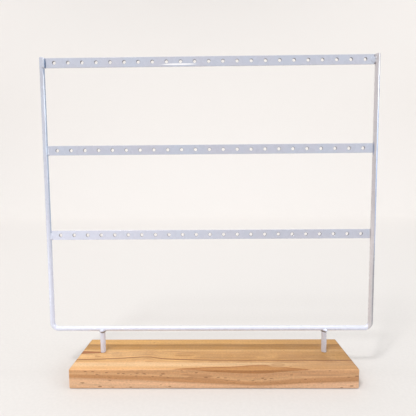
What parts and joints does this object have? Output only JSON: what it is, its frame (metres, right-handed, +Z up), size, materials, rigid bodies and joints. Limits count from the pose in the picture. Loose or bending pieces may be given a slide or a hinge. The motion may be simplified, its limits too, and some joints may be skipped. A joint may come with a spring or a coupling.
{
  "type": "earring display stand",
  "caption": "Free-standing earring stand: punched metal bars across a bent rod frame on a wooden base block.",
  "frame": {"origin": "on the table, midway between the uprights and midway between the base's front and back", "axes": "+X to the right along the bars, +Y to the back through their holes, +Z up"},
  "size_m": [0.3134, 0.0564, 0.2993],
  "materials": {
    "oiled_wood": "oiled, satin",
    "white_coat": "gloss powder coat",
    "plated_steel": "zinc plated"
  },
  "bodies": {
    "root": {"base_board": "oiled_wood", "frame_rod": "white_coat", "top_bar": "white_coat", "middle_bar": "white_coat", "lower_bar": "white_coat", "left_post": "white_coat", "right_post": "white_coat", "top_bar_left_weld": "white_coat", "top_bar_right_weld": "white_coat", "middle_bar_left_weld": "white_coat", "middle_bar_right_weld": "white_coat", "lower_bar_left_weld": "white_coat", "lower_bar_right_weld": "white_coat", "left_post_weld": "white_coat", "right_post_weld": "white_coat", "left_screw": "plated_steel", "right_screw": "plated_steel", "left_washer": "plated_steel", "right_washer": "plated_steel"}
  },
  "joints": []
}
